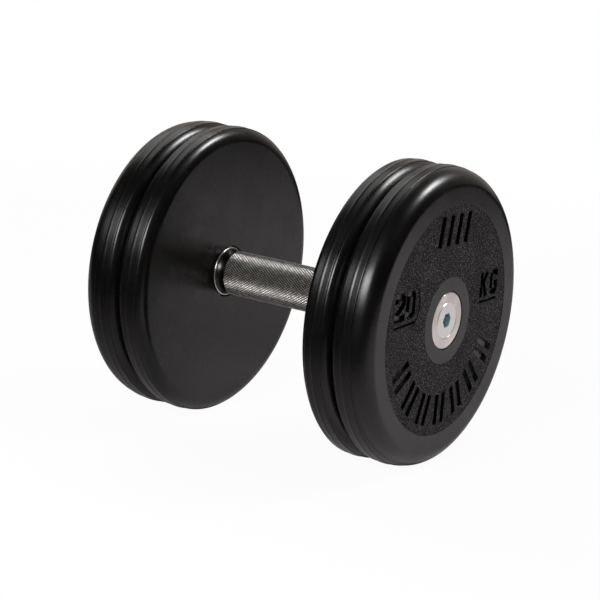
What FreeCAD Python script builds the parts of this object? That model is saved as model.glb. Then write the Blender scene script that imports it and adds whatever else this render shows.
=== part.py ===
import FreeCAD, Part
import math
import os

# A fixed-weight dumbbell. A chromed steel bar carries two rubber-covered iron discs at each end.
# The discs sit on steel bushes, a key keeps them from turning, and a countersunk screw with a
# thick end washer holds them on. Lengths are in millimetres. X runs along the bar, Z is up, and
# the origin is the middle of the grip. Turned outlines are drawn from places along X and radii.

# The heads
grip_span = 137.4            # clear length between the two heads
disc_radius = 110.3          # at the moulding line round the middle of each rim
band_width = 11.4            # the rim between its two step edges
draft_drop = 0.45            # the rim falls this far from the moulding line to a step edge
step_height = 0.5            # the step down from the rim to a shoulder
shoulder_length = 6.5        # the small shoulders, along the bar
shoulder_depth = 10.2        # and towards the axis
shoulder_bow = 1.7           # how far a small shoulder stands out from a straight bevel
end_shoulder_length = 13.4   # the large shoulder at the dumbbell's end
end_shoulder_depth = 11.2
end_shoulder_bow = 3.0
rubber_skin = 4.2            # rubber over the flat sides of the iron
rim_skin = 7.3               # rubber over the iron's rim, below the moulding line
core_chamfer = 4.0

# The bar
grip_radius = 17.0
neck_length = 7.2            # from a head back to the knurl
knurl_chamfer = 0.8
neck_radius = 16.2
flare_length = 4.35          # the neck flares out to the lip
flare_rise = 1.65
flare_bow = 0.43
lip_radius = 18.55
lip_sunk = 0.5               # the lip is round as far as this inside the head
lip_round = 1.25
lip_bow = 0.3
lip_gap = 1.4                # dark gap round the lip, in the rubber
spigot_radius = 15.0         # the turned ends that carry the discs
spigot_chamfer = 1.0
clamp_gap = 0.6              # the bar stops short of the washer, so that the screw clamps the bushes

# The bushes and the key
bush_radius = 19.5
bush_fit = 0.05
key_width = 6.0
key_height = 6.0
key_length = 32.0
key_sunk = 3.5               # depth of the key seat in the spigot
key_side_fit = 0.05
key_top_gap = 0.2

# The end washer and its screw
washer_radius = 20.67
washer_thickness = 7.5
washer_recess = 0.35         # the washer's face lies this far below the rubber
washer_bevel = 1.1
washer_gap = 0.7             # dark gap round the washer, in the rubber
screw_radius = 7.0           # outside of the thread
screw_length = 40.0
screw_head_radius = 13.33
screw_head_land = 0.5        # straight rim of the head, above its cone
screw_tip_chamfer = 1.0
head_fit = 0.12
washer_hole_gap = 0.5
thread_fit = 0.1
tapping_spare = 4.0          # the tapped hole runs on past the screw's tip
drill_tip_length = 4.0
socket_flats = 10.0
socket_depth = 6.0
socket_turn = 27.0           # degrees that a corner of the hexagon leans from upright

# One overrun serves every cut.
overrun = 2.0

ORIGIN = FreeCAD.Vector(0, 0, 0)
ALONG = FreeCAD.Vector(1, 0, 0)
CORNERS = 6

# Places along the bar, from the middle to the right end
inner_face = grip_span / 2
inner_core_start = inner_face + rubber_skin
joint_face = inner_face + band_width + 2 * shoulder_length
inner_core_end = joint_face - rubber_skin
outer_core_start = joint_face + rubber_skin
outer_face = joint_face + shoulder_length + band_width + end_shoulder_length
washer_face = outer_face - washer_recess
washer_seat = washer_face - washer_thickness
spigot_end = washer_seat - clamp_gap
screw_tip = washer_face - screw_length

# Radii that follow from the ones above
core_radius = disc_radius - rim_skin
step_top = disc_radius - draft_drop
step_foot = step_top - step_height
flat_radius = step_foot - shoulder_depth
end_flat_radius = step_foot - end_shoulder_depth
lip_hole_radius = lip_radius + lip_gap
washer_hole_radius = screw_radius + washer_hole_gap
key_foot = spigot_radius - key_sunk
key_top = key_foot + key_height


def at(place, radius):
    """A point of a turned outline: its place along the bar and its distance from the axis."""
    return FreeCAD.Vector(place, 0, radius)


def bowed(start, end, bow):
    """The run from start to end, as an arc whose middle stands off the straight line by bow."""
    if bow == 0:
        return Part.makeLine(start, end)
    run = end - start
    outward = FreeCAD.Vector(-run.z, 0, run.x)
    outward.normalize()
    middle = (start + end) / 2 + outward * bow
    return Part.Arc(start, middle, end).toShape()


def turned(*stops):
    """A solid turned about the bar's axis. A stop is a point, or a point and the bow of its run."""
    points = [stop[0] if isinstance(stop, tuple) else stop for stop in stops]
    bows = [stop[1] if isinstance(stop, tuple) else 0 for stop in stops]
    edges = []
    for index, point in enumerate(points):
        edges.append(bowed(points[index - 1], point, bows[index]))
    return Part.Face(Part.Wire(edges)).revolve(ORIGIN, ALONG, 360)


def collar(start, end, hole, radius, chamfer=0):
    """A plain ring, or a plain bar where hole is zero, chamfered at both outer edges."""
    if chamfer == 0:
        return turned(at(start, hole), at(start, radius), at(end, radius), at(end, hole))
    return turned(
        at(start, hole),
        at(start, radius - chamfer),
        at(start + chamfer, radius),
        at(end - chamfer, radius),
        at(end, radius - chamfer),
        at(end, hole),
    )


def rubber_disc(start, far_length, far_depth, far_bow):
    """A whole disc as moulded, without its holes. Its far shoulder has its own sizes."""
    near_step = start + shoulder_length
    moulding_line = near_step + band_width / 2
    far_step = near_step + band_width
    end = far_step + far_length
    return turned(
        at(start, 0),
        at(start, flat_radius),
        (at(near_step, step_foot), shoulder_bow),
        at(near_step, step_top),
        at(moulding_line, disc_radius),
        at(far_step, step_top),
        at(far_step, step_foot),
        (at(end, step_foot - far_depth), far_bow),
        at(end, 0),
    )


def key_slot(start, end, foot, top, side_gap):
    """The key's shape, round at both ends, or the room for it, from foot to top above the axis."""
    half = key_width / 2 + side_gap
    near, far = start + key_width / 2, end - key_width / 2
    outline = Part.Wire([
        Part.makeLine(FreeCAD.Vector(near, -half, foot), FreeCAD.Vector(far, -half, foot)),
        Part.Arc(
            FreeCAD.Vector(far, -half, foot),
            FreeCAD.Vector(far + half, 0, foot),
            FreeCAD.Vector(far, half, foot),
        ).toShape(),
        Part.makeLine(FreeCAD.Vector(far, half, foot), FreeCAD.Vector(near, half, foot)),
        Part.Arc(
            FreeCAD.Vector(near, half, foot),
            FreeCAD.Vector(near - half, 0, foot),
            FreeCAD.Vector(near, -half, foot),
        ).toShape(),
    ])
    return Part.Face(outline).extrude(FreeCAD.Vector(0, 0, top - foot))


def key_shape(foot, top, side_gap):
    """The key, or the room for it, half in each disc."""
    return key_slot(joint_face - key_length / 2, joint_face + key_length / 2, foot, top, side_gap)


def handle_bar():
    """The bar in one piece: knurled grip, necks, lips, and turned ends tapped for the screws."""
    knurl_end = inner_face - neck_length
    lip_start = inner_face + lip_sunk
    flare_end = lip_start - lip_round
    flare_tip_radius = neck_radius + flare_rise
    half = turned(
        at(0, 0),
        at(0, grip_radius),
        at(knurl_end, grip_radius),
        at(knurl_end + knurl_chamfer, neck_radius),
        at(flare_end - flare_length, neck_radius),
        (at(flare_end, flare_tip_radius), -flare_bow),
        (at(lip_start, lip_radius), lip_bow),
        at(inner_core_start, lip_radius),
        at(inner_core_start, spigot_radius),
        at(spigot_end - spigot_chamfer, spigot_radius),
        at(spigot_end, spigot_radius - spigot_chamfer),
        at(spigot_end, 0),
    )
    tapped_radius = screw_radius + thread_fit
    tapping_end = screw_tip - tapping_spare
    tapped_hole = turned(
        at(tapping_end - drill_tip_length, 0),
        at(tapping_end, tapped_radius),
        at(spigot_end + overrun, tapped_radius),
        at(spigot_end + overrun, 0),
    )
    half = half.cut(tapped_hole).cut(key_shape(key_foot, spigot_radius + overrun, 0))
    return half.fuse(half.mirror(ORIGIN, ALONG)).removeSplitter()


def bush(start, end):
    """A steel bush that carries one disc on the spigot, broached for the key."""
    bore = spigot_radius + bush_fit
    keyway = Part.makeBox(
        end - start + 2 * overrun,
        key_width + 2 * key_side_fit,
        key_top + key_top_gap,
        FreeCAD.Vector(start - overrun, -key_width / 2 - key_side_fit, 0),
    )
    return collar(start, end, bore, bush_radius).cut(keyway)


def inner_core():
    """The iron weight of the disc beside the grip."""
    return collar(inner_core_start, inner_core_end, bush_radius, core_radius, core_chamfer)


def outer_core():
    """The iron weight of the disc at the end."""
    return collar(outer_core_start, washer_seat, bush_radius, core_radius, core_chamfer)


def inner_jacket():
    """Rubber moulded all round the inner iron weight, open at the lip and at the bush."""
    lip_hole = collar(inner_face - overrun, inner_core_start, 0, lip_hole_radius)
    bush_hole = collar(inner_core_start, joint_face + overrun, 0, bush_radius)
    whole = rubber_disc(inner_face, shoulder_length, shoulder_depth, shoulder_bow)
    return whole.cut(inner_core()).cut(lip_hole).cut(bush_hole)


def outer_jacket():
    """Rubber moulded all round the outer iron weight, open at the bush and at the washer."""
    bush_hole = collar(joint_face - overrun, washer_seat, 0, bush_radius)
    washer_pocket = collar(washer_seat, outer_face + overrun, 0, washer_radius + washer_gap)
    whole = rubber_disc(joint_face, end_shoulder_length, end_shoulder_depth, end_shoulder_bow)
    return whole.cut(outer_core()).cut(bush_hole).cut(washer_pocket)


def end_washer():
    """The thick turned washer, countersunk for the screw's head."""
    sink_radius = screw_head_radius + head_fit
    sink_land = washer_face - screw_head_land
    return turned(
        at(washer_seat, washer_hole_radius),
        at(washer_seat, washer_radius),
        at(washer_face - washer_bevel, washer_radius),
        at(washer_face, washer_radius - washer_bevel),
        at(washer_face, sink_radius),
        at(sink_land, sink_radius),
        at(sink_land - (sink_radius - washer_hole_radius), washer_hole_radius),
    )


def socket_screw():
    """A countersunk screw with a hexagon socket."""
    head_land = washer_face - screw_head_land
    cone_foot = head_land - (screw_head_radius - screw_radius)
    body = turned(
        at(screw_tip, 0),
        at(screw_tip, screw_radius - screw_tip_chamfer),
        at(screw_tip + screw_tip_chamfer, screw_radius),
        at(cone_foot, screw_radius),
        at(head_land, screw_head_radius),
        at(washer_face, screw_head_radius),
        at(washer_face, 0),
    )
    corner_radius = socket_flats / math.sqrt(3)
    socket_foot = washer_face - socket_depth
    corners = []
    for index in range(CORNERS + 1):
        lean = math.radians(socket_turn + 360 / CORNERS * index)
        corners.append(FreeCAD.Vector(
            socket_foot, corner_radius * math.sin(lean), corner_radius * math.cos(lean)))
    hexagon = Part.Face(Part.makePolygon(corners))
    return body.cut(hexagon.extrude(ALONG * (socket_depth + overrun)))


def head():
    """The pieces of the right head, by name."""
    return {
        "inner_core": inner_core(),
        "inner_jacket": inner_jacket(),
        "inner_bush": bush(inner_core_start, joint_face),
        "outer_core": outer_core(),
        "outer_jacket": outer_jacket(),
        "outer_bush": bush(joint_face, washer_seat),
        "drive_key": key_shape(key_foot, key_top, 0),
        "end_washer": end_washer(),
        "socket_screw": socket_screw(),
    }


os.makedirs("parts", exist_ok=True)
nodes = {"handle_bar": handle_bar()}
for name, piece in head().items():
    nodes["right_" + name] = piece
    nodes["left_" + name] = piece.mirror(ORIGIN, ALONG)
for name, piece in nodes.items():
    solid = piece.Solids[0]
    solid.exportStep("parts/" + name + ".step")
    print(name, "solids", len(piece.Solids), "valid", solid.isValid(), "volume", round(solid.Volume))
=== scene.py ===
# %% [markdown]
# # A round rubber-coated dumbbell
#
# Two heads of two rubber-coated iron discs each sit on a chromed bar with a knurled grip. The
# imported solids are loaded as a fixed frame, and the pieces that show are modelled over them:
# rubber with moulded marks and a sanded ring, a grip with real diamonds, and turned steel ends.

# %% Load the solids
import math

import bmesh
import bpy
from mathutils import Matrix, Vector


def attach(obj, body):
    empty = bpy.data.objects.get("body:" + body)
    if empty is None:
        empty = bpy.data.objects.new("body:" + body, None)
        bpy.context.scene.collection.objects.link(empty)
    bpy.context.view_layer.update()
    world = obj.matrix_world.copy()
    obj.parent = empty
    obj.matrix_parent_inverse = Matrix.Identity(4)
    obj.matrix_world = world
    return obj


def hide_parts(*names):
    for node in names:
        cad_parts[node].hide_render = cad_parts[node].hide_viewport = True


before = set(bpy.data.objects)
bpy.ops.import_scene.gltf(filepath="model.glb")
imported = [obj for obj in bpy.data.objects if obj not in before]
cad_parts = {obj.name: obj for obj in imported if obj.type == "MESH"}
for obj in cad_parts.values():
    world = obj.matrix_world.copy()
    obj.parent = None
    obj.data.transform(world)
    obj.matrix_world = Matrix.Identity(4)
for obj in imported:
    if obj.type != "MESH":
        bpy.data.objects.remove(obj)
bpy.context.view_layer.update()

# %% [markdown]
# ## Sizes
#
# The solids were measured in millimetres, so the same numbers are used here and turned into
# metres where a mesh is made. A stop is a place along the bar and a distance from its axis,
# which is how a turner reads a drawing.

# %% The sizes that the pieces share
MM = 0.001
TOUCHING = 1e-6
DISC_SIDES = 256
BAR_SIDES = 160

inner_face, joint_face, outer_face = 68.7, 93.1, 124.4
flat_radius, end_flat_radius = 99.15, 98.15
step_foot, step_top, disc_radius = 109.3, 109.8, 110.3
step_near, step_far, end_step = 5.8, 6.5, 111.1
shoulder_bow, end_shoulder_bow, groove_deep = 1.7, 3.0, 0.3
core_radius, core_chamfer = 103.0, 4.0
rubber_skin = 4.2
grain_inner, grain_outer, grain_sunk = 31.9, 84.6, 0.2
washer_radius, washer_gap, washer_face, washer_seat = 20.67, 0.7, 124.05, 116.55
bush_radius, lip_hole_radius = 19.5, 19.95
print("the heads stand", 2 * inner_face, "mm apart")

# %% [markdown]
# ## Small helpers for modelling as by hand
#
# Blender's operators act on whatever is selected. A helper that clears the selection, and one
# that selects in edit mode by place, keep each step as clear as a click would be.

# %% Selecting and editing
def only(piece):
    """Makes piece the one selected and active object."""
    if bpy.context.object and bpy.context.object.mode != "OBJECT":
        bpy.ops.object.mode_set(mode="OBJECT")
    bpy.ops.object.select_all(action="DESELECT")
    piece.select_set(True)
    bpy.context.view_layer.objects.active = piece
    return piece


def settle(name):
    """Names the new object and moves its place into its mesh."""
    piece = bpy.context.object
    piece.name = piece.data.name = name
    bpy.ops.object.transform_apply(location=True, rotation=True, scale=True)
    return piece


def pick(piece, kind, test):
    """In edit mode, selects only the verts, edges or faces that pass the test, and counts them."""
    shape = bmesh.from_edit_mesh(piece.data)
    modes = {"verts": {"VERT"}, "edges": {"EDGE"}, "faces": {"FACE"}}
    for part in (shape.verts, shape.edges, shape.faces):
        for item in part:
            item.select = False
    shape.select_mode = modes[kind]
    bpy.context.tool_settings.mesh_select_mode = [kind == k for k in ("verts", "edges", "faces")]
    chosen = [item for item in getattr(shape, kind) if test(item)]
    for item in chosen:
        item.select_set(True)
    shape.select_flush_mode()
    bmesh.update_edit_mesh(piece.data)
    return len(chosen)


def from_axis(point):
    """Distance of a point from the bar's axis."""
    return math.hypot(point.y, point.z)


def clean(piece):
    """Merges doubled points and turns every face outwards."""
    only(piece)
    bpy.ops.object.mode_set(mode="EDIT")
    bpy.ops.mesh.select_all(action="SELECT")
    bpy.ops.mesh.remove_doubles(threshold=TOUCHING)
    bpy.ops.mesh.normals_make_consistent(inside=False)
    bpy.ops.object.mode_set(mode="OBJECT")
    return piece


def finish_with(piece, kind, **settings):
    """Adds a modifier with these settings and applies it."""
    only(piece)
    made = piece.modifiers.new(kind.title(), kind)
    for key, value in settings.items():
        setattr(made, key, value)
    bpy.ops.object.modifier_apply(modifier=made.name)
    return piece


def smooth(piece, degrees):
    """Smooth shading, but for edges sharper than this."""
    only(piece)
    bpy.ops.object.shade_smooth_by_angle(angle=math.radians(degrees))
    return piece


def copy_of(piece, name):
    """A copy with a mesh of its own."""
    twin = piece.copy()
    twin.data = piece.data.copy()
    twin.name = twin.data.name = name
    bpy.context.scene.collection.objects.link(twin)
    return twin


def joined(pieces, name):
    """One object from several."""
    only(pieces[0])
    for piece in pieces:
        piece.select_set(True)
    bpy.ops.object.join()
    return settle(name)


print("helpers ready")

# %% [markdown]
# ## Turning a shape
#
# Every large piece here is a turned one. On a lathe the tool follows an outline; here a ring of
# points does. It starts as a circle primitive round the axis, and each stop of the outline is one
# extrude along the bar and one resize. The last ring meets the first, so the shell is closed. A
# ring can't grow again from nothing, so a tip starts or ends as a tiny hole that is merged later.

# %% A lathe made of extrudes
tip_hole = 0.02


def bowed(start, end, bow, steps):
    """Stops along an arc from start to end whose middle stands off the straight line by bow."""
    (x0, r0), (x1, r1) = start, end
    run = math.hypot(x1 - x0, r1 - r0)
    radius = (run * run / 4 + bow * bow) / (2 * abs(bow))
    side = 1 if bow > 0 else -1
    nx, nr = -(r1 - r0) / run * side, (x1 - x0) / run * side
    cx = (x0 + x1) / 2 - nx * (radius - abs(bow))
    cr = (r0 + r1) / 2 - nr * (radius - abs(bow))
    half = math.asin(run / 2 / radius)
    stops = []
    for index in range(1, steps + 1):
        turn = -half + 2 * half * index / steps
        along = radius * math.sin(turn)
        out = radius * math.cos(turn)
        stops.append((
            cx + nx * out + (x1 - x0) / run * along,
            cr + nr * out + (r1 - r0) / run * along))
    return stops


def turned(name, stops, sides, closed=True):
    """A shell that follows the stops round the bar's axis."""
    bpy.ops.object.select_all(action="DESELECT")
    x, radius = stops[0]
    bpy.ops.mesh.primitive_circle_add(
        vertices=sides, radius=radius * MM, location=(x * MM, 0, 0), rotation=(0, math.pi / 2, 0))
    piece = settle(name)
    bpy.ops.object.mode_set(mode="EDIT")
    bpy.ops.mesh.select_all(action="SELECT")
    for next_x, next_radius in stops[1:]:
        bpy.ops.mesh.extrude_region_move(
            TRANSFORM_OT_translate={"value": ((next_x - x) * MM, 0, 0)})
        scale = next_radius / radius
        bpy.ops.transform.resize(value=(1, scale, scale), center_override=(next_x * MM, 0, 0))
        x, radius = next_x, next_radius
    bpy.ops.object.mode_set(mode="OBJECT")
    if closed:
        clean(piece)
    return piece


arc = bowed((0, 0), (2, 0), 1, 3)
print("an arc of three stops:", [(round(x, 2), round(r, 2)) for x, r in arc])

# %% [markdown]
# ## The rubber discs
#
# Each disc is an iron weight with rubber moulded all round it. The mould parts at the middle of
# the rim, which swells a little there and keeps a thin raised line. The rim's edges are rounded
# and stand a small step above the shoulders, with a fine groove at the step's foot, and the
# shoulders bow over to the flat faces. The outline runs round the outside and back along the
# hollow that the iron fills.

# %% The outlines of the two kinds of disc
groove_width, groove_floor, groove_lip = 0.22, step_foot - groove_deep, step_foot - 0.1
edge_run, edge_bow = 0.9, 0.2
swell = [(1.6, step_top + 0.15), (1.4, step_top + 0.18)]
mould_line = [(0.4, disc_radius - 0.14), (0.2, disc_radius - 0.12), (0.14, disc_radius)]
lead_start, lead_run, lead_bow, bow_start = 0.25, 1.3, 0.09, 1.6
lead_top, lead_foot = step_foot - 0.34, step_foot - 0.74
flat_margin, flat_rings = 1.2, 6
end_lead = (end_step + 0.3, step_foot - 0.05)
end_edge = [(0.06, -0.1), (0, 0.9), (0, 2.4)]


def rim(near_step, far_step):
    """The rim between its two steps: grooves, rounded edges, a low swell and the mould's line."""
    middle = (near_step + far_step) / 2
    half = [(near_step - groove_width, groove_floor), (near_step, groove_floor)]
    half += [(near_step, groove_lip)]
    half += bowed((near_step, groove_lip), (near_step + edge_run, step_top), edge_bow, 5)
    half += [(middle - before, radius) for before, radius in swell + mould_line]
    return half + [(2 * middle - x, radius) for x, radius in reversed(half)]


def shoulder(step, face):
    """From a step to a flat face: a small rounding, and then the wide bow."""
    lead = bowed((0, lead_top), (lead_run, lead_foot), lead_bow, 4)
    bow = bowed((0, step_foot), (abs(face - step), flat_radius), shoulder_bow, 14)
    stops = [(lead_start, lead_top)] + lead[1:] + [stop for stop in bow if stop[0] > bow_start]
    side = 1 if face > step else -1
    return [(step + side * x, radius) for x, radius in stops]


def flat(x, start, end, steps):
    """Rings across a flat face, from one radius to another."""
    return [(x, start + (end - start) * index / steps) for index in range(steps + 1)]


def hollow(start, end, hole_far, hole_near):
    """The hollow round the iron, walked back from its far end to its near one."""
    return [
        (end, hole_far),
        (end, core_radius - core_chamfer),
        (end - core_chamfer, core_radius),
        (start + core_chamfer, core_radius),
        (start, core_radius - core_chamfer),
        (start, hole_near),
    ]


near, far = inner_face + step_near, joint_face - step_far
inner_outline = (
    flat(inner_face, lip_hole_radius, flat_radius - flat_margin, flat_rings)
    + shoulder(near, inner_face)[::-1]
    + rim(near, far)
    + shoulder(far, joint_face)
    + [(joint_face, bush_radius)]
    + hollow(inner_face + rubber_skin, joint_face - rubber_skin, bush_radius, lip_hole_radius)
    + [(inner_face, lip_hole_radius)]
)
near = joint_face + step_near
outer_outline = (
    [(joint_face, bush_radius)]
    + shoulder(near, joint_face)[::-1]
    + rim(near, end_step)
    + [end_lead]
    + bowed((end_step, step_foot), (outer_face, end_flat_radius), end_shoulder_bow, 20)[1:-1]
    + [(outer_face - back, end_flat_radius - inward) for back, inward in end_edge]
    + [(outer_face, grain_outer), (outer_face - grain_sunk, grain_outer - grain_sunk)]
    + [(outer_face - grain_sunk, grain_inner + grain_sunk), (outer_face, grain_inner)]
    + [(outer_face, washer_radius + washer_gap)]
    + hollow(joint_face + rubber_skin, washer_seat, washer_radius + washer_gap, bush_radius)
    + [(joint_face, bush_radius)]
)
print("stops:", len(inner_outline), "and", len(outer_outline))

# %% [markdown]
# A tiny bevel on every sharp ring gives the thin bright lines that moulded rubber shows at its
# steps. Weighted normals keep the flat faces flat up to the bevels, instead of letting the
# shading roll over them.

# %% The inner discs
rubber_bevel, rubber_crease = 0.08, 38


def keep_flats(piece):
    """Smooth shading that keeps the flat faces flat up to their bevels."""
    smooth(piece, 60)
    return finish_with(piece, "WEIGHTED_NORMAL", mode="FACE_AREA", weight=60, keep_sharp=True)


def soften(piece, width, degrees):
    """Small bevels on the edges sharper than this."""
    finish_with(piece, "BEVEL", width=width * MM, segments=2, limit_method="ANGLE",
                angle_limit=math.radians(degrees), use_clamp_overlap=False, miter_outer="MITER_ARC")
    return keep_flats(piece)


right_inner = turned("right_inner_rubber", inner_outline, DISC_SIDES)
soften(right_inner, rubber_bevel, rubber_crease)
left_inner = copy_of(right_inner, "left_inner_rubber")
left_inner.data.transform(Matrix.Rotation(math.pi, 4, "Z"))
print("an inner disc has", len(right_inner.data.polygons), "faces")

# %% [markdown]
# ## The moulded marks
#
# The weight stands sunk in the end faces: a number, a unit and a bar under each. A mark is made
# as a sign maker would: a centre line on the face, given a stroke's width. One point is extruded
# from corner to corner, the line is extruded into a wall through the rubber, and Solidify gives
# the wall its width with even corners. The other places carry plain slots.

# %% One stroke as a cutter
mark_floor, mark_above = 121.7, 126.0


def stroke(points, width, loop=False):
    """A cutter that follows points (Y, Z in millimetres) on the right end face."""
    bpy.ops.object.select_all(action="DESELECT")
    y, z = points[0]
    bpy.ops.mesh.primitive_plane_add(size=MM, location=(mark_floor * MM, y * MM, z * MM))
    wall = settle("stroke")
    bpy.ops.object.mode_set(mode="EDIT")
    bpy.ops.mesh.select_all(action="SELECT")
    bpy.ops.mesh.merge(type="CENTER")
    for next_y, next_z in points[1:] + ([points[0]] if loop else []):
        bpy.ops.mesh.extrude_region_move(
            TRANSFORM_OT_translate={"value": (0, (next_y - y) * MM, (next_z - z) * MM)})
        y, z = next_y, next_z
    bpy.ops.mesh.select_all(action="SELECT")
    if loop:
        bpy.ops.mesh.remove_doubles(threshold=TOUCHING)
    bpy.ops.mesh.extrude_region_move(
        TRANSFORM_OT_translate={"value": ((mark_above - mark_floor) * MM, 0, 0)})
    bpy.ops.object.mode_set(mode="OBJECT")
    finish_with(wall, "SOLIDIFY", thickness=width * MM, offset=0, use_even_offset=True)
    return clean(wall)


def placed(points, y, z, turn=0):
    """The points moved to a place on the face, after a turn in degrees about the mark's origin."""
    c, s = math.cos(math.radians(turn)), math.sin(math.radians(turn))
    return [(y + c * px - s * pz, z + s * px + c * pz) for px, pz in points]


print("marks are", round(outer_face - mark_floor, 2), "mm deep")

# %% [markdown]
# The figures and letters have cut corners, so that one straight stroke does for curves too. The
# slots on the other places are a little wider than the strokes.

# %% All the cutters of one face
figure_two = [(2.35, 13.6), (2.35, 16.2), (4.3, 17.8), (10.4, 17.8), (12.35, 16.0),
              (12.35, 12.6), (2.5, 5.4), (2.5, 2.4), (14.7, 2.4)]
figure_nought = [(2.35, 3.9), (2.35, 16.1), (4.1, 17.8), (9.1, 17.8), (10.85, 16.1),
                 (10.85, 3.9), (9.1, 2.3), (4.1, 2.3)]
letter_k_stem = [(1.9, 0.0), (1.9, 18.8)]
letter_k_arms = [(9.6, 18.8), (4.4, 10.6), (9.9, 0.0)]
letter_g = [(9.7, 13.6), (9.7, 15.6), (8.2, 16.9), (3.4, 16.9), (1.9, 15.5), (1.9, 3.3),
            (3.4, 1.8), (8.2, 1.8), (9.7, 3.2), (9.7, 8.2), (5.8, 8.2)]
figure_width, letter_width = 4.7, 4.1

cutters = [
    stroke(placed(figure_two, -75.8, 10.1), figure_width),
    stroke(placed(figure_nought, -60.1, 10.1), figure_width, loop=True),
    stroke([(-75.2, 6.2), (-46.0, 6.6)], 1.8),
    stroke(placed(letter_k_stem, 45.6, 9.4), letter_width),
    stroke(placed(letter_k_arms, 45.6, 9.4), letter_width),
    stroke(placed(letter_g, 60.0, 9.6), letter_width),
    stroke([(45.6, 5.9), (71.4, 6.1)], 1.7),
]
top_slots, top_pitch, top_lean, top_width = 4, 12.2, 4.0, 5.6
for index in range(top_slots):
    foot = -20.5 + top_pitch * index
    cutters.append(stroke([(foot, 55.5), (foot + top_lean, 77.5)], top_width))
low_pairs, pair_turn, pair_half, pair_flare, low_width = 7, 20.5, 4.4, 1.12, 5.0
for index in range(low_pairs):
    turn = 180 - pair_turn * (low_pairs - 1) / 2 + pair_turn * index
    for side in (-pair_half, pair_half):
        slot = [(side, 54.5), (side * pair_flare, 77.0)]
        cutters.append(stroke(placed(slot, 0, 0, turn), low_width))
print("cutters:", len(cutters))

# %% [markdown]
# The number sits on a round insert that the mould maker changes for each weight. It never lies
# quite flush, so one side is pressed a little deeper. A thin tilted cylinder cuts that crescent.

# %% The mould insert and the end discs
insert_radius, insert_y, insert_z = 18.9, -59.8, 18.8
insert_thick, insert_press, insert_tilt = 3, 0.18, -1.6
grain_face = outer_face - grain_sunk


def tilted_insert():
    """A round cutter whose right side reaches under the face."""
    middle = grain_face + insert_thick / 2 - insert_press
    bpy.ops.object.select_all(action="DESELECT")
    bpy.ops.mesh.primitive_cylinder_add(
        vertices=96, radius=insert_radius * MM, depth=insert_thick * MM,
        location=(middle * MM, insert_y * MM, insert_z * MM), rotation=(0, math.pi / 2, 0))
    cutter = settle("insert")
    bpy.ops.object.mode_set(mode="EDIT")
    bpy.ops.mesh.select_all(action="SELECT")
    bpy.ops.transform.rotate(
        value=math.radians(insert_tilt), orient_axis="Z",
        center_override=(grain_face * MM, insert_y * MM, insert_z * MM))
    bpy.ops.object.mode_set(mode="OBJECT")
    return cutter


def cut(piece, cutter, crossing=True):
    """Takes the cutter, whose parts may cross, out of the piece and then away."""
    finish_with(piece, "BOOLEAN", operation="DIFFERENCE", object=cutter, solver="EXACT",
                use_self=crossing)
    bpy.data.objects.remove(cutter)
    return piece


def flatten_cuts(piece):
    """Joins the slivers that cutting leaves on flat faces."""
    only(piece)
    bpy.ops.object.mode_set(mode="EDIT")
    low = (mark_floor - 0.1) * MM
    inside = (grain_outer - 0.6) * MM
    pick(piece, "faces", lambda face: all(
        v.co.x > low and from_axis(v.co) < inside for v in face.verts) or (
        abs(face.normal.x) > 0.99 and face.calc_center_median().x > low
        and from_axis(face.calc_center_median()) < inside))
    bpy.ops.mesh.dissolve_limited(angle_limit=math.radians(0.4), use_dissolve_boundaries=False)
    bpy.ops.object.mode_set(mode="OBJECT")
    return piece


right_outer = turned("right_outer_rubber", outer_outline, DISC_SIDES)
cut(right_outer, tilted_insert())
cut(right_outer, joined(cutters, "marks"))
flatten_cuts(right_outer)
soften(right_outer, rubber_bevel, rubber_crease)
left_outer = copy_of(right_outer, "left_outer_rubber")
left_outer.data.transform(Matrix.Rotation(math.pi, 4, "Z"))
print("an end disc has", len(right_outer.data.polygons), "faces")

# %% [markdown]
# ## The grip
#
# Knurling presses two sets of crossing grooves into the bar and leaves small blunt diamonds. The
# grip starts as a plain tube cut into cells. Poking each cell and dissolving the old edges leaves
# diamonds, and an inset of each face on its own raises them, all without one loop of code.

# %% Knurling
grip_radius, knurl_depth, knurl_length = 17.0, 0.7, 123.0
cells_round, cells_along, flank_width = 52, 42, 0.7


def knurl():
    """The knurled tube between the necks."""
    root = (grip_radius - knurl_depth) * MM
    bpy.ops.object.select_all(action="DESELECT")
    bpy.ops.mesh.primitive_cylinder_add(
        vertices=cells_round, radius=root, depth=knurl_length * MM, end_fill_type="NOTHING",
        rotation=(0, math.pi / 2, 0))
    tube = settle("knurl")
    bpy.ops.object.mode_set(mode="EDIT")
    pick(tube, "edges", lambda e: abs(e.verts[0].co.x - e.verts[1].co.x) > MM)
    bpy.ops.mesh.subdivide(number_cuts=cells_along - 1)
    bpy.ops.mesh.select_all(action="SELECT")
    bpy.ops.mesh.poke(offset=0)
    near_root = root - TOUCHING
    pick(tube, "edges", lambda e: len(e.link_faces) == 2 and all(
        from_axis(v.co) > near_root for v in e.verts))
    bpy.ops.mesh.dissolve_edges(use_verts=False)
    bpy.ops.mesh.select_all(action="SELECT")
    bpy.ops.mesh.inset(thickness=flank_width * MM, depth=knurl_depth * MM, use_individual=True)
    bpy.ops.object.mode_set(mode="OBJECT")
    return tube


knurled = knurl()
print("diamonds and flanks:", len(knurled.data.polygons))

# %% [markdown]
# Past the knurl the bar is turned smooth. The neck flares out to a thin lip that shows as a bright
# ring in the head's hole. Behind the lip the bar is turned down to carry the discs and is tapped
# for the end screw. One end is turned, mirrored for the other, and both are bridged to the
# knurl's edges.

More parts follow.
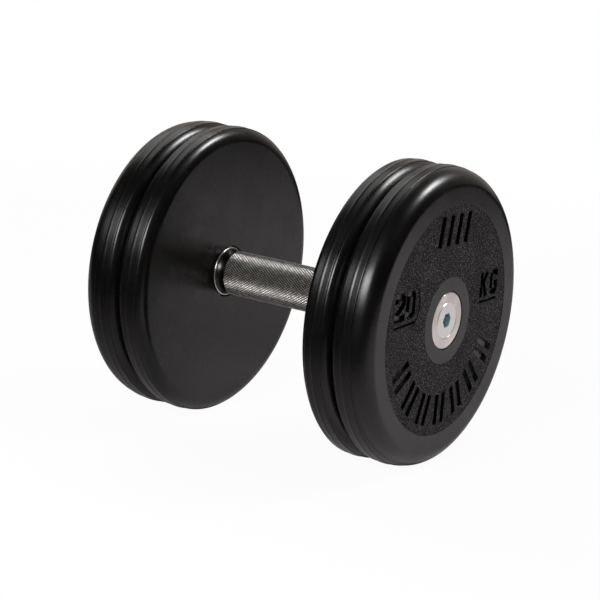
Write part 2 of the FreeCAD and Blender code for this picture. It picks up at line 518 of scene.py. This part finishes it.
# %% The ends of the bar
neck_radius, lip_radius, spigot_radius = 16.2, 18.55, 15.0
lip_shelf, lip_back, lip_front, lip_foot = 72.9, 69.1, 68.4, 17.9
flare_wide, flare_narrow, lip_bow, flare_bow = (68.5, 17.7), (64.3, neck_radius), -0.2, 0.4
drill_end, tapped_end, tapped_radius = 76.05, 80.05, 7.1
spigot_end, spigot_chamfer, knurl_end = 115.95, 1.0, 61.8
bar_outline = (
    [(drill_end, tip_hole), (tapped_end, tapped_radius), (spigot_end, tapped_radius)]
    + [(spigot_end, spigot_radius - spigot_chamfer), (spigot_end - spigot_chamfer, spigot_radius)]
    + [(lip_shelf, spigot_radius), (lip_shelf, lip_radius), (lip_back, lip_radius)]
    + bowed((lip_back, lip_radius), (lip_front, lip_foot), lip_bow, 8)
    + [(68.55, 17.82), flare_wide]
    + bowed(flare_wide, flare_narrow, flare_bow, 8)
    + [(62.3, neck_radius), (61.75, 16.3)]
)
right_end = turned("bar_end", bar_outline, BAR_SIDES, closed=False)
left_end = copy_of(right_end, "bar_end_left")
left_end.data.transform(Matrix.Scale(-1, 4, (1, 0, 0)))
bar = joined([knurled, right_end, left_end], "knurled_bar")
bpy.ops.object.mode_set(mode="EDIT")
for side in (1, -1):
    pick(bar, "edges", lambda e: len(e.link_faces) == 1 and all(
        (knurl_end - 0.4) * MM < v.co.x * side < (knurl_end + 0.1) * MM for v in e.verts))
    bpy.ops.mesh.bridge_edge_loops()
    pick(bar, "verts", lambda v: abs(v.co.x * side - drill_end * MM) < 0.05 * MM
         and from_axis(v.co) < 0.1 * MM)
    bpy.ops.mesh.merge(type="CENTER")
bpy.ops.object.mode_set(mode="OBJECT")
clean(bar)
print("the bar has", len(bar.data.polygons), "faces")

# %% [markdown]
# The key seat is milled into both turned ends. Its cutter is a box with rounded ends, made from a
# cylinder whose halves are pulled apart.

# %% Key seats and shading of the bar
key_width, seat_depth, seat_height, seat_pull = 6, 8, 15.5, 13


def key_cutter(side):
    """The room of the key seat, half in each disc."""
    middle = side * joint_face * MM
    bpy.ops.object.select_all(action="DESELECT")
    bpy.ops.mesh.primitive_cylinder_add(
        vertices=32, radius=key_width / 2 * MM, depth=seat_depth * MM,
        location=(middle, 0, seat_height * MM))
    cutter = settle("key_seat")
    bpy.ops.object.mode_set(mode="EDIT")
    for way in (1, -1):
        pick(cutter, "verts", lambda v: (v.co.x - middle) * way > 0.01 * MM)
        bpy.ops.transform.translate(value=(way * seat_pull * MM, 0, 0))
    bpy.ops.object.mode_set(mode="OBJECT")
    return cutter


for side in (1, -1):
    cut(bar, key_cutter(side), crossing=False)
smooth(bar, 24)
print("the bar now has", len(bar.data.polygons), "faces")

# %% [markdown]
# ## The end washer and its screw
#
# The washer is a thick ring, turned bright, with a bevelled rim and a countersink. It is drawn a
# little wider than the solid, so that the dark gap round it stays thin. The screw's head lies
# flush in it. Its hexagon socket is cut with a six-sided prism that ends in the cone a drill
# leaves, and small bevels catch the light.

# %% Washer and screw
metal_bevel, metal_crease = 0.1, 25
head_radius, head_fit, head_land, edge = 13.33, 0.12, 0.5, 0.35
washer_out, washer_bevel, washer_ring, washer_hole = washer_radius + 0.28, 0.45, 17.0, 7.5
sink = head_radius + head_fit
washer_outline = [
    (washer_seat, washer_hole), (washer_seat, washer_out),
    (washer_face - washer_bevel, washer_out), (washer_face, washer_out - washer_bevel),
    (washer_face, washer_ring), (washer_face, sink + edge), (washer_face - edge, sink),
    (washer_face - head_land - (sink - washer_hole), washer_hole), (washer_seat, washer_hole),
]
washer = turned("right_washer", washer_outline, BAR_SIDES)
soften(washer, metal_bevel, metal_crease)

screw_tip, screw_chamfer, shank_radius, cone_start, head_ring = 84.05, 1.0, 7.0, 117.22, 9.0
screw_outline = [
    (screw_tip, tip_hole), (screw_tip, shank_radius - screw_chamfer),
    (screw_tip + screw_chamfer, shank_radius), (cone_start, shank_radius),
    (washer_face - head_land, head_radius), (washer_face - edge, head_radius),
    (washer_face, head_radius - edge), (washer_face, head_ring), (washer_face, tip_hole),
]
screw = turned("right_screw", screw_outline, BAR_SIDES, closed=False)
bpy.ops.object.mode_set(mode="EDIT")
for x in (screw_tip, washer_face):
    pick(screw, "verts", lambda v: abs(v.co.x - x * MM) < TOUCHING and from_axis(v.co) < 0.1 * MM)
    bpy.ops.mesh.merge(type="CENTER")
bpy.ops.object.mode_set(mode="OBJECT")
clean(screw)
socket_flats, socket_depth, socket_above, socket_lean = 10.0, 6, 2, 27
cone_edge, cone_depth = 0.5, 1.1


def socket_cutter():
    """A hexagonal prism with a flat cone at its foot."""
    height = socket_depth + socket_above
    middle = washer_face - (socket_depth - socket_above) / 2
    bpy.ops.object.select_all(action="DESELECT")
    bpy.ops.mesh.primitive_cylinder_add(
        vertices=6, radius=socket_flats / math.sqrt(3) * MM, depth=height * MM,
        location=(middle * MM, 0, 0), rotation=(0, math.pi / 2, 0))
    cutter = settle("socket")
    bpy.ops.object.mode_set(mode="EDIT")
    bpy.ops.mesh.select_all(action="SELECT")
    shape = bmesh.from_edit_mesh(cutter.data)
    corner = max((v.co for v in shape.verts), key=lambda co: co.z)
    lean = math.degrees(math.atan2(corner.y, corner.z))
    bpy.ops.transform.rotate(
        value=math.radians(socket_lean - lean), orient_axis="X",
        center_override=(washer_face * MM, 0, 0))
    corner = max((v.co for v in shape.verts), key=lambda co: co.z)
    print("the socket's corner leans", round(math.degrees(math.atan2(corner.y, corner.z)), 1))
    pick(cutter, "faces", lambda f: f.normal.x < -0.9)
    bpy.ops.mesh.inset(thickness=cone_edge * MM, depth=0)
    bpy.ops.mesh.poke(offset=cone_depth * MM)
    bpy.ops.object.mode_set(mode="OBJECT")
    return cutter


cut(screw, socket_cutter())
soften(screw, metal_bevel, metal_crease)
left_washer = copy_of(washer, "left_washer")
left_screw = copy_of(screw, "left_screw")
for piece in (left_washer, left_screw):
    piece.data.transform(Matrix.Scale(-1, 4, (1, 0, 0)))
    keep_flats(clean(piece))
print("washer and screw:", len(washer.data.polygons), len(screw.data.polygons), "faces")

# %% [markdown]
# ## Finishes
#
# Each finish is a small network of nodes. A wrapper round a socket lets its sums be written as
# Python, and one method adds any other node, so that a finish reads like a recipe.

# %% Shader sums as Python
class Wire:
    """A node's output that can be used in sums."""

    def __init__(self, finish, socket):
        self.finish, self.socket = finish, socket

    def sum(self, operation, *values):
        return self.finish.node("ShaderNodeMath", {"operation": operation}, dict(enumerate(values)))

    def __add__(self, other):
        return self.sum("ADD", self, other)

    def __sub__(self, other):
        return self.sum("SUBTRACT", self, other)

    def __rsub__(self, other):
        return self.sum("SUBTRACT", other, self)

    def __mul__(self, other):
        return self.sum("MULTIPLY", self, other)

    def __pow__(self, other):
        return self.sum("POWER", self, other)

    def __gt__(self, other):
        return self.sum("GREATER_THAN", self, other)

    def __lt__(self, other):
        return self.sum("LESS_THAN", self, other)

    def __abs__(self):
        return self.sum("ABSOLUTE", self)

    __radd__, __rmul__ = __add__, __mul__


class Finish:
    """A material and its nodes."""

    def __init__(self, name, **fixed):
        self.material = bpy.data.materials.new(name)
        self.material.use_nodes = True
        self.tree = self.material.node_tree
        self.shader = self.tree.nodes["Principled BSDF"]
        for key, value in fixed.items():
            self.shader.inputs[key.replace("_", " ")].default_value = value

    def node(self, kind, settings=None, inputs=None, output=0):
        """Adds a node, sets it up, feeds its inputs and gives one of its outputs."""
        made = self.tree.nodes.new(kind)
        for key, value in (settings or {}).items():
            setattr(made, key, value)
        for key, value in (inputs or {}).items():
            self.feed(made.inputs[key], value)
        return Wire(self, made.outputs[output])

    def feed(self, entry, value):
        """Links or sets one input."""
        if isinstance(value, Wire):
            self.tree.links.new(value.socket, entry)
        else:
            entry.default_value = value

    def set(self, **inputs):
        """Feeds inputs of the shader."""
        for key, value in inputs.items():
            self.feed(self.shader.inputs[key.replace("_", " ")], value)

    def parts(self, vector):
        """The three numbers of a vector."""
        split = self.tree.nodes.new("ShaderNodeSeparateXYZ")
        self.feed(split.inputs[0], vector)
        return [Wire(self, out) for out in split.outputs]

    def places(self):
        """The place along the bar, from its middle, and the distance from its axis."""
        x, y, z = self.parts(self.node("ShaderNodeTexCoord", output="Object"))
        return abs(x), (y * y + z * z) ** 0.5

    def noise(self, size, detail=2.0, roughness=0.5, dimensions="3D", **inputs):
        """Noise whose blotches are about this many millimetres across."""
        if "W" not in inputs:
            inputs["Vector"] = self.node("ShaderNodeTexCoord", output="Object")
        inputs.update({"Scale": 1 / (size * MM), "Detail": detail, "Roughness": roughness})
        return self.node("ShaderNodeTexNoise", {"noise_dimensions": dimensions}, inputs)

    def between(self, value, low, high, from_low=0.0, from_high=1.0):
        """Maps a value smoothly from one range to another."""
        return self.node("ShaderNodeMapRange", {"interpolation_type": "SMOOTHSTEP"}, {
            "Value": value, "From Min": from_low, "From Max": from_high,
            "To Min": low, "To Max": high})

    def mixed(self, share, first, second):
        """One colour shading into another."""
        return self.node("ShaderNodeMix", {"data_type": "RGBA"}, {
            0: share, 6: first, 7: second}, output=2)

    def bumps(self, height, distance, normal=None):
        """Bump from a height between 0 and 1 that stands for this many millimetres."""
        inputs = {"Height": height, "Distance": distance * MM, "Strength": 1.0}
        if normal is not None:
            inputs["Normal"] = normal
        return self.node("ShaderNodeBump", {}, inputs, output="Normal")


print("recipes can be written")

# %% [markdown]
# ## Rubber
#
# Black moulded rubber is dark, and what is seen is mostly the light that it reflects. The mould
# was turned, so faint rings run round every smooth surface. The ring that carries the marks was
# sand blasted in the mould: it hardly mirrors, and its fine pits and crumbs give a salt and
# pepper grain. It has a finish of its own, on the faces of the end disc between the two radii.

# %% Moulded rubber
rubber = Finish("moulded_rubber", Metallic=0.0, IOR=1.46)
along, radius = rubber.places()
rings = rubber.noise(0.55, detail=3, roughness=0.6, dimensions="1D", W=radius + along)
cloud = rubber.noise(30, detail=3)
rubber.set(
    Base_Color=rubber.mixed(cloud, (0.0018, 0.0015, 0.0014, 1), (0.0030, 0.0026, 0.0024, 1)),
    Roughness=rubber.between(cloud, 0.24, 0.30, 0.35, 0.65) + (rings - 0.5) * 0.06,
    Normal=rubber.bumps(rings, 0.006, normal=rubber.bumps(cloud, 0.05)),
)

sanded = Finish("sanded_rubber", Metallic=0.0, IOR=1.4, Specular_IOR_Level=0.3)
speck = sanded.noise(1.0, detail=2, roughness=0.6)
patch = sanded.noise(26, detail=2)
crumbs = sanded.between(speck + (patch - 0.5) * 0.08, 0, 1, 0.52, 0.65)
sanded.set(
    Base_Color=sanded.mixed(crumbs, (0.002, 0.0018, 0.002, 1), (0.108, 0.102, 0.104, 1)),
    Roughness=0.7 - crumbs * 0.25,
    Normal=sanded.bumps(speck, 0.75),
)
print("the sanded ring runs from", grain_inner, "to", grain_outer, "mm from the axis")

# %% [markdown]
# ## Metals
#
# The bar is chromed over the knurl. Plating stays bright on the crests of the diamonds, more so
# where hands have polished it, and the grooves between them are painted nearly black: painted shade
# in the recesses. The necks are painted dark too, a painted reflection of the black rubber round
# them, and the lips are bright. The washer is turned: fine rings in its face spread the light
# sideways. The screw is zinc plated, paler and duller, and bluish in its socket.

# %% Chrome, turned steel and zinc
chrome = Finish("chrome_plate", Metallic=1.0)
along, radius = chrome.places()
wear = chrome.noise(14, detail=4, roughness=0.6)
knurl_zone = along < knurl_end * MM
neck_zone = (along > knurl_end * MM) * (radius < lip_foot * MM)
# Painted shade: towards the roots of its grooves the knurl is painted nearly black.
crest = chrome.between(radius, 0.0, 1.0, (grip_radius - knurl_depth) * MM, grip_radius * MM)
plate = chrome.mixed(wear, (0.78, 0.77, 0.755, 1), (0.88, 0.87, 0.855, 1))
# Painted reflection: the necks are painted nearly black, for the black rubber that they mirror.
plate = chrome.mixed(neck_zone, plate, (0.055, 0.053, 0.05, 1))
polish = chrome.between(chrome.noise(2.5, detail=4, roughness=0.7), 0.0, 1.0, 0.38, 0.62)
diamonds = chrome.mixed(polish, (0.36, 0.335, 0.31, 1), (0.84, 0.83, 0.82, 1))
chrome.set(
    Base_Color=chrome.mixed(knurl_zone, plate, chrome.mixed(
        crest, (0.035, 0.032, 0.029, 1), diamonds)),
    Roughness=knurl_zone * 0.17 + chrome.between(wear, 0.24, 0.30, 0.3, 0.7),
    Normal=chrome.bumps(chrome.noise(0.6, detail=2), 0.01),
)

turned_steel = Finish("turned_steel", Metallic=1.0)
along, radius = turned_steel.places()
lathe = turned_steel.noise(0.22, detail=2, dimensions="1D", W=radius + along)
haze = turned_steel.noise(16, detail=2)
turned_steel.set(
    Base_Color=turned_steel.mixed(
        turned_steel.between(haze, 0, 1, 0.35, 0.65),
        (0.70, 0.66, 0.645, 1), (0.86, 0.82, 0.80, 1)),
    Roughness=turned_steel.between(lathe, 0.22, 0.36, 0.3, 0.7),
    Normal=turned_steel.bumps(lathe, 0.012),
)

zinc = Finish("zinc_plate", Metallic=1.0)
along, radius = zinc.places()
tint_radius, tint_depth = 5.6, 0.6
in_socket = (radius < tint_radius * MM) * (along < (washer_face - tint_depth) * MM)
frost = zinc.noise(0.5, detail=3)
zinc.set(
    Base_Color=zinc.mixed(in_socket, (0.94, 0.94, 0.925, 1), (0.50, 0.64, 0.70, 1)),
    Roughness=zinc.between(frost, 0.32, 0.44, 0.3, 0.7),
    Normal=zinc.bumps(frost, 0.02),
)
print("metals:", chrome.material.name, turned_steel.material.name, zinc.material.name)

# %% [markdown]
# ## The parts inside
#
# The iron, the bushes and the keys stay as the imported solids. They only show when the dumbbell is
# taken apart, and still get their own finishes: sand-cast iron with a rough skin, and plain steel.

# %% Cast iron and machined steel
iron = Finish("cast_iron", Metallic=0.75)
lumps = iron.noise(2.2, detail=5, roughness=0.65)
iron.set(
    Base_Color=iron.mixed(lumps, (0.045, 0.044, 0.043, 1), (0.11, 0.105, 0.10, 1)),
    Roughness=iron.between(lumps, 0.55, 0.8, 0.3, 0.7),
    Normal=iron.bumps(lumps, 0.25),
)

machined = Finish("machined_steel", Metallic=1.0)
along, radius = machined.places()
cuts = machined.noise(0.4, detail=2, dimensions="1D", W=along + radius)
machined.set(
    Base_Color=machined.mixed(machined.noise(9), (0.42, 0.42, 0.42, 1), (0.52, 0.52, 0.515, 1)),
    Roughness=machined.between(cuts, 0.3, 0.45, 0.3, 0.7),
    Normal=machined.bumps(cuts, 0.01),
)


def dress(piece, finish):
    """Puts one finish on all of a piece."""
    piece.data.materials.clear()
    piece.data.materials.append(finish.material)


for name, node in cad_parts.items():
    inner = iron if name.endswith("core") else machined
    for place in node.material_slots:
        place.material = inner.material
print("nodes dressed:", len(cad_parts))

# %% [markdown]
# ## Putting the pieces on the frame
#
# Each modelled piece rides on the part's one body and stands for the solid that it covers.

# %% Pieces and the solids they stand for
def sand(piece):
    """Gives the flat faces between the two radii the sanded finish."""
    only(piece)
    bpy.ops.object.mode_set(mode="EDIT")
    low, high = (grain_inner - 0.1) * MM, (grain_outer + 0.1) * MM
    chosen = pick(piece, "faces", lambda face: abs(face.normal.x) > 0.7 and all(
        abs(v.co.x) > (outer_face - 1.4) * MM and low < from_axis(v.co) < high for v in face.verts))
    piece.data.materials.append(sanded.material)
    piece.active_material_index = 1
    bpy.ops.object.material_slot_assign()
    bpy.ops.object.mode_set(mode="OBJECT")
    return chosen


covers = [
    (bar, "handle_bar", chrome, "chrome"),
    (right_inner, "right_inner_jacket", rubber, "rubber"),
    (left_inner, "left_inner_jacket", rubber, "rubber"),
    (right_outer, "right_outer_jacket", rubber, "rubber"),
    (left_outer, "left_outer_jacket", rubber, "rubber"),
    (washer, "right_end_washer", turned_steel, "washer_steel"),
    (left_washer, "left_end_washer", turned_steel, "washer_steel"),
    (screw, "right_socket_screw", zinc, "screw_steel"),
    (left_screw, "left_socket_screw", zinc, "screw_steel"),
]
for piece, node, finish, slot in covers:
    dress(piece, finish)
    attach(piece, "root")
    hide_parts(node)
    print(piece.name, "stands for", node)
for piece in (right_outer, left_outer):
    print(piece.name, "has", sand(piece), "sanded faces")

# %% [markdown]
# ## Floor and room
#
# The dumbbell rests on a white sheet with a pale, slightly warm backdrop behind it. The rest of
# the studio is dark, which is what keeps the rubber black. The camera sees white all round, with a
# faint shadow on the sheet. Gloss and metal see the lit sheet with its shadows as far as it
# reaches, and the backdrop where it hangs. Past the sheet, towards the front and partly on the
# left, the floor's colour is painted dark for glossy and transmitted rays only: painted darkness
# that stands in for the unlit room.

# %% White where it is seen
def white_rays(recipe):
    """Tells camera rays, and tells glossy and transmitted ones."""
    path = recipe.tree.nodes.new("ShaderNodeLightPath")
    camera_ray = Wire(recipe, path.outputs["Is Camera Ray"])
    mirrored = Wire(recipe, path.outputs["Is Glossy Ray"])
    return camera_ray, mirrored + Wire(recipe, path.outputs["Is Transmission Ray"])


def mixed_shader(recipe, share, first, second):
    """One shader shading into another."""
    return recipe.node("ShaderNodeMixShader", {}, {0: share, 1: first, 2: second})


floor_gap = 0.2
bpy.ops.object.select_all(action="DESELECT")
bpy.ops.mesh.primitive_circle_add(
    vertices=64, radius=30, fill_type="NGON", location=(0, 0, -(disc_radius + floor_gap) * MM))
floor = settle("floor")
paper = Finish("floor_paper", Roughness=1.0, Specular_IOR_Level=0.0)
camera_ray, mirrored = white_rays(paper)
spread_x, spread_y, _ = paper.parts(paper.node("ShaderNodeTexCoord", output="Object"))
reach = (spread_x * spread_x + spread_y * spread_y) ** 0.5
far_fade, front_fade, left_fade = (0.8, 1.3), (-0.32, -0.08), (-0.25, 0.03)
sheet = paper.between(reach, 1.0, 0.0, *far_fade) * paper.between(spread_y, 0.0, 1.0, *front_fade)
sheet = sheet * paper.between(spread_x, 0.55, 1.0, *left_fade)
# Painted darkness: for glossy and transmitted rays the floor is painted nearly black past the
# sheet.
painted_dark_share = mirrored * (1 - sheet * 0.88)
paper.set(Base_Color=paper.mixed(painted_dark_share, (0.80, 0.75, 0.755, 1), (0.02, 0.02, 0.02, 1)))
glow = paper.node("ShaderNodeEmission", {}, {"Color": (1, 1, 1, 1), "Strength": 1.0})
share = camera_ray * (1 - sheet * 0.05) + mirrored * sheet * 0.04
paper.feed(paper.tree.nodes["Material Output"].inputs["Surface"],
           mixed_shader(paper, share, Wire(paper, paper.shader.outputs[0]), glow))
dress(floor, paper)
print("the floor lies at", round(-disc_radius - floor_gap, 1), "mm")

# %% [markdown]
# The room is the world's background. It gives the dumbbell hardly any light. Where a ray comes
# straight from the camera it is white, and in gloss and metal it shows the backdrop, which is
# brightest low behind the dumbbell and fades to the right and upwards.

# %% The room
class Room(Finish):
    """The world's nodes, written like a finish."""

    def __init__(self, name):
        world = bpy.data.worlds.new(name)
        bpy.context.scene.world = world
        world.use_nodes = True
        self.tree = world.node_tree
        self.shader = self.tree.nodes["Background"]


room = Room("studio")
room.set(Color=(1, 1, 1, 1), Strength=0.012)
camera_ray, mirrored = white_rays(room)
way_x, way_y, way_z = room.parts(room.node("ShaderNodeTexCoord", output="Generated"))
bright, right_fade, back_fade, top_fade = 0.52, (-0.3, 0.9), (0.0, 0.35), (0.2, 0.85)
backdrop = room.between(way_x, bright, 0.0, *right_fade) * room.between(way_y, 0.0, 1.0, *back_fade)
backdrop = backdrop * room.between(way_z, 1.0, 0.35, *top_fade)
paint = room.mixed(camera_ray, (1, 0.91, 0.86, 1), (1, 1, 1, 1))
white = room.node("ShaderNodeBackground", {}, {"Color": paint, "Strength": 1.0})
room.feed(
    room.tree.nodes["World Output"].inputs["Surface"],
    mixed_shader(room, camera_ray + mirrored * backdrop, Wire(room, room.shader.outputs[0]), white))
print("the room is", bpy.context.scene.world.name)

# %% [markdown]
# ## Softboxes
#
# A small softbox hangs behind the dumbbell, up to the right, and puts a bright streak on every
# shoulder. A wide one stands to the left of the camera. A weak card on the left and a large soft
# one behind it fill the shadows.

# %% Softboxes
def softbox(name, azimuth, elevation, distance, width, height, power, roll=0):
    """A rectangular lamp in a direction from the dumbbell, aimed at it and rolled in its frame."""
    a, e = math.radians(azimuth), math.radians(elevation)
    place = Vector((math.cos(a) * math.cos(e), math.sin(a) * math.cos(e), math.sin(e))) * distance
    lamp = bpy.data.lights.new(name, "AREA")
    lamp.shape, lamp.size, lamp.size_y, lamp.energy = "RECTANGLE", width, height, power
    holder = bpy.data.objects.new(name, lamp)
    bpy.context.scene.collection.objects.link(holder)
    holder.location = place
    holder.rotation_euler = (-place).to_track_quat("-Z", "Y").to_euler()
    holder.rotation_euler.rotate_axis("Z", math.radians(roll))
    return holder


softbox("back_softbox", 50, 48, 2.0, 0.6, 0.4, 24, roll=-18)
softbox("front_softbox", -85, 28, 2.0, 1.3, 0.55, 35)
softbox("left_card", -130, 25, 2.0, 0.5, 0.5, 2.5)
softbox("side_softbox", 150, 50, 2.0, 1.2, 1.2, 5)
print("softboxes:", [lamp.name for lamp in bpy.data.lights])

# %% [markdown]
# ## The camera
#
# The camera stands where the photograph was taken from. It leans a little, because the dumbbell
# had rolled a few degrees on its rims and is modelled with its marks upright.

# %% The camera
picture_width = 600
camera = bpy.data.cameras.new("camera")
camera.sensor_width, camera.lens = 36.0, 122.4
camera.shift_x, camera.shift_y = -0.7 / picture_width, 0.5 / picture_width
eye = bpy.data.objects.new("camera", camera)
bpy.context.scene.collection.objects.link(eye)
right = Vector((0.82892, 0.55441, 0.07433)).normalized()
ahead = Vector((-0.52565, 0.81748, -0.23541)).normalized()
up = right.cross(ahead).normalized()
turn = Matrix((right, up, -ahead)).transposed().to_4x4()
eye.matrix_world = Matrix.Translation((0.802068, -1.249395, 0.349849)) @ turn
bpy.context.scene.camera = eye
bpy.context.scene.view_settings.view_transform = "Standard"
print("the camera is", round(eye.location.length, 3), "m away")
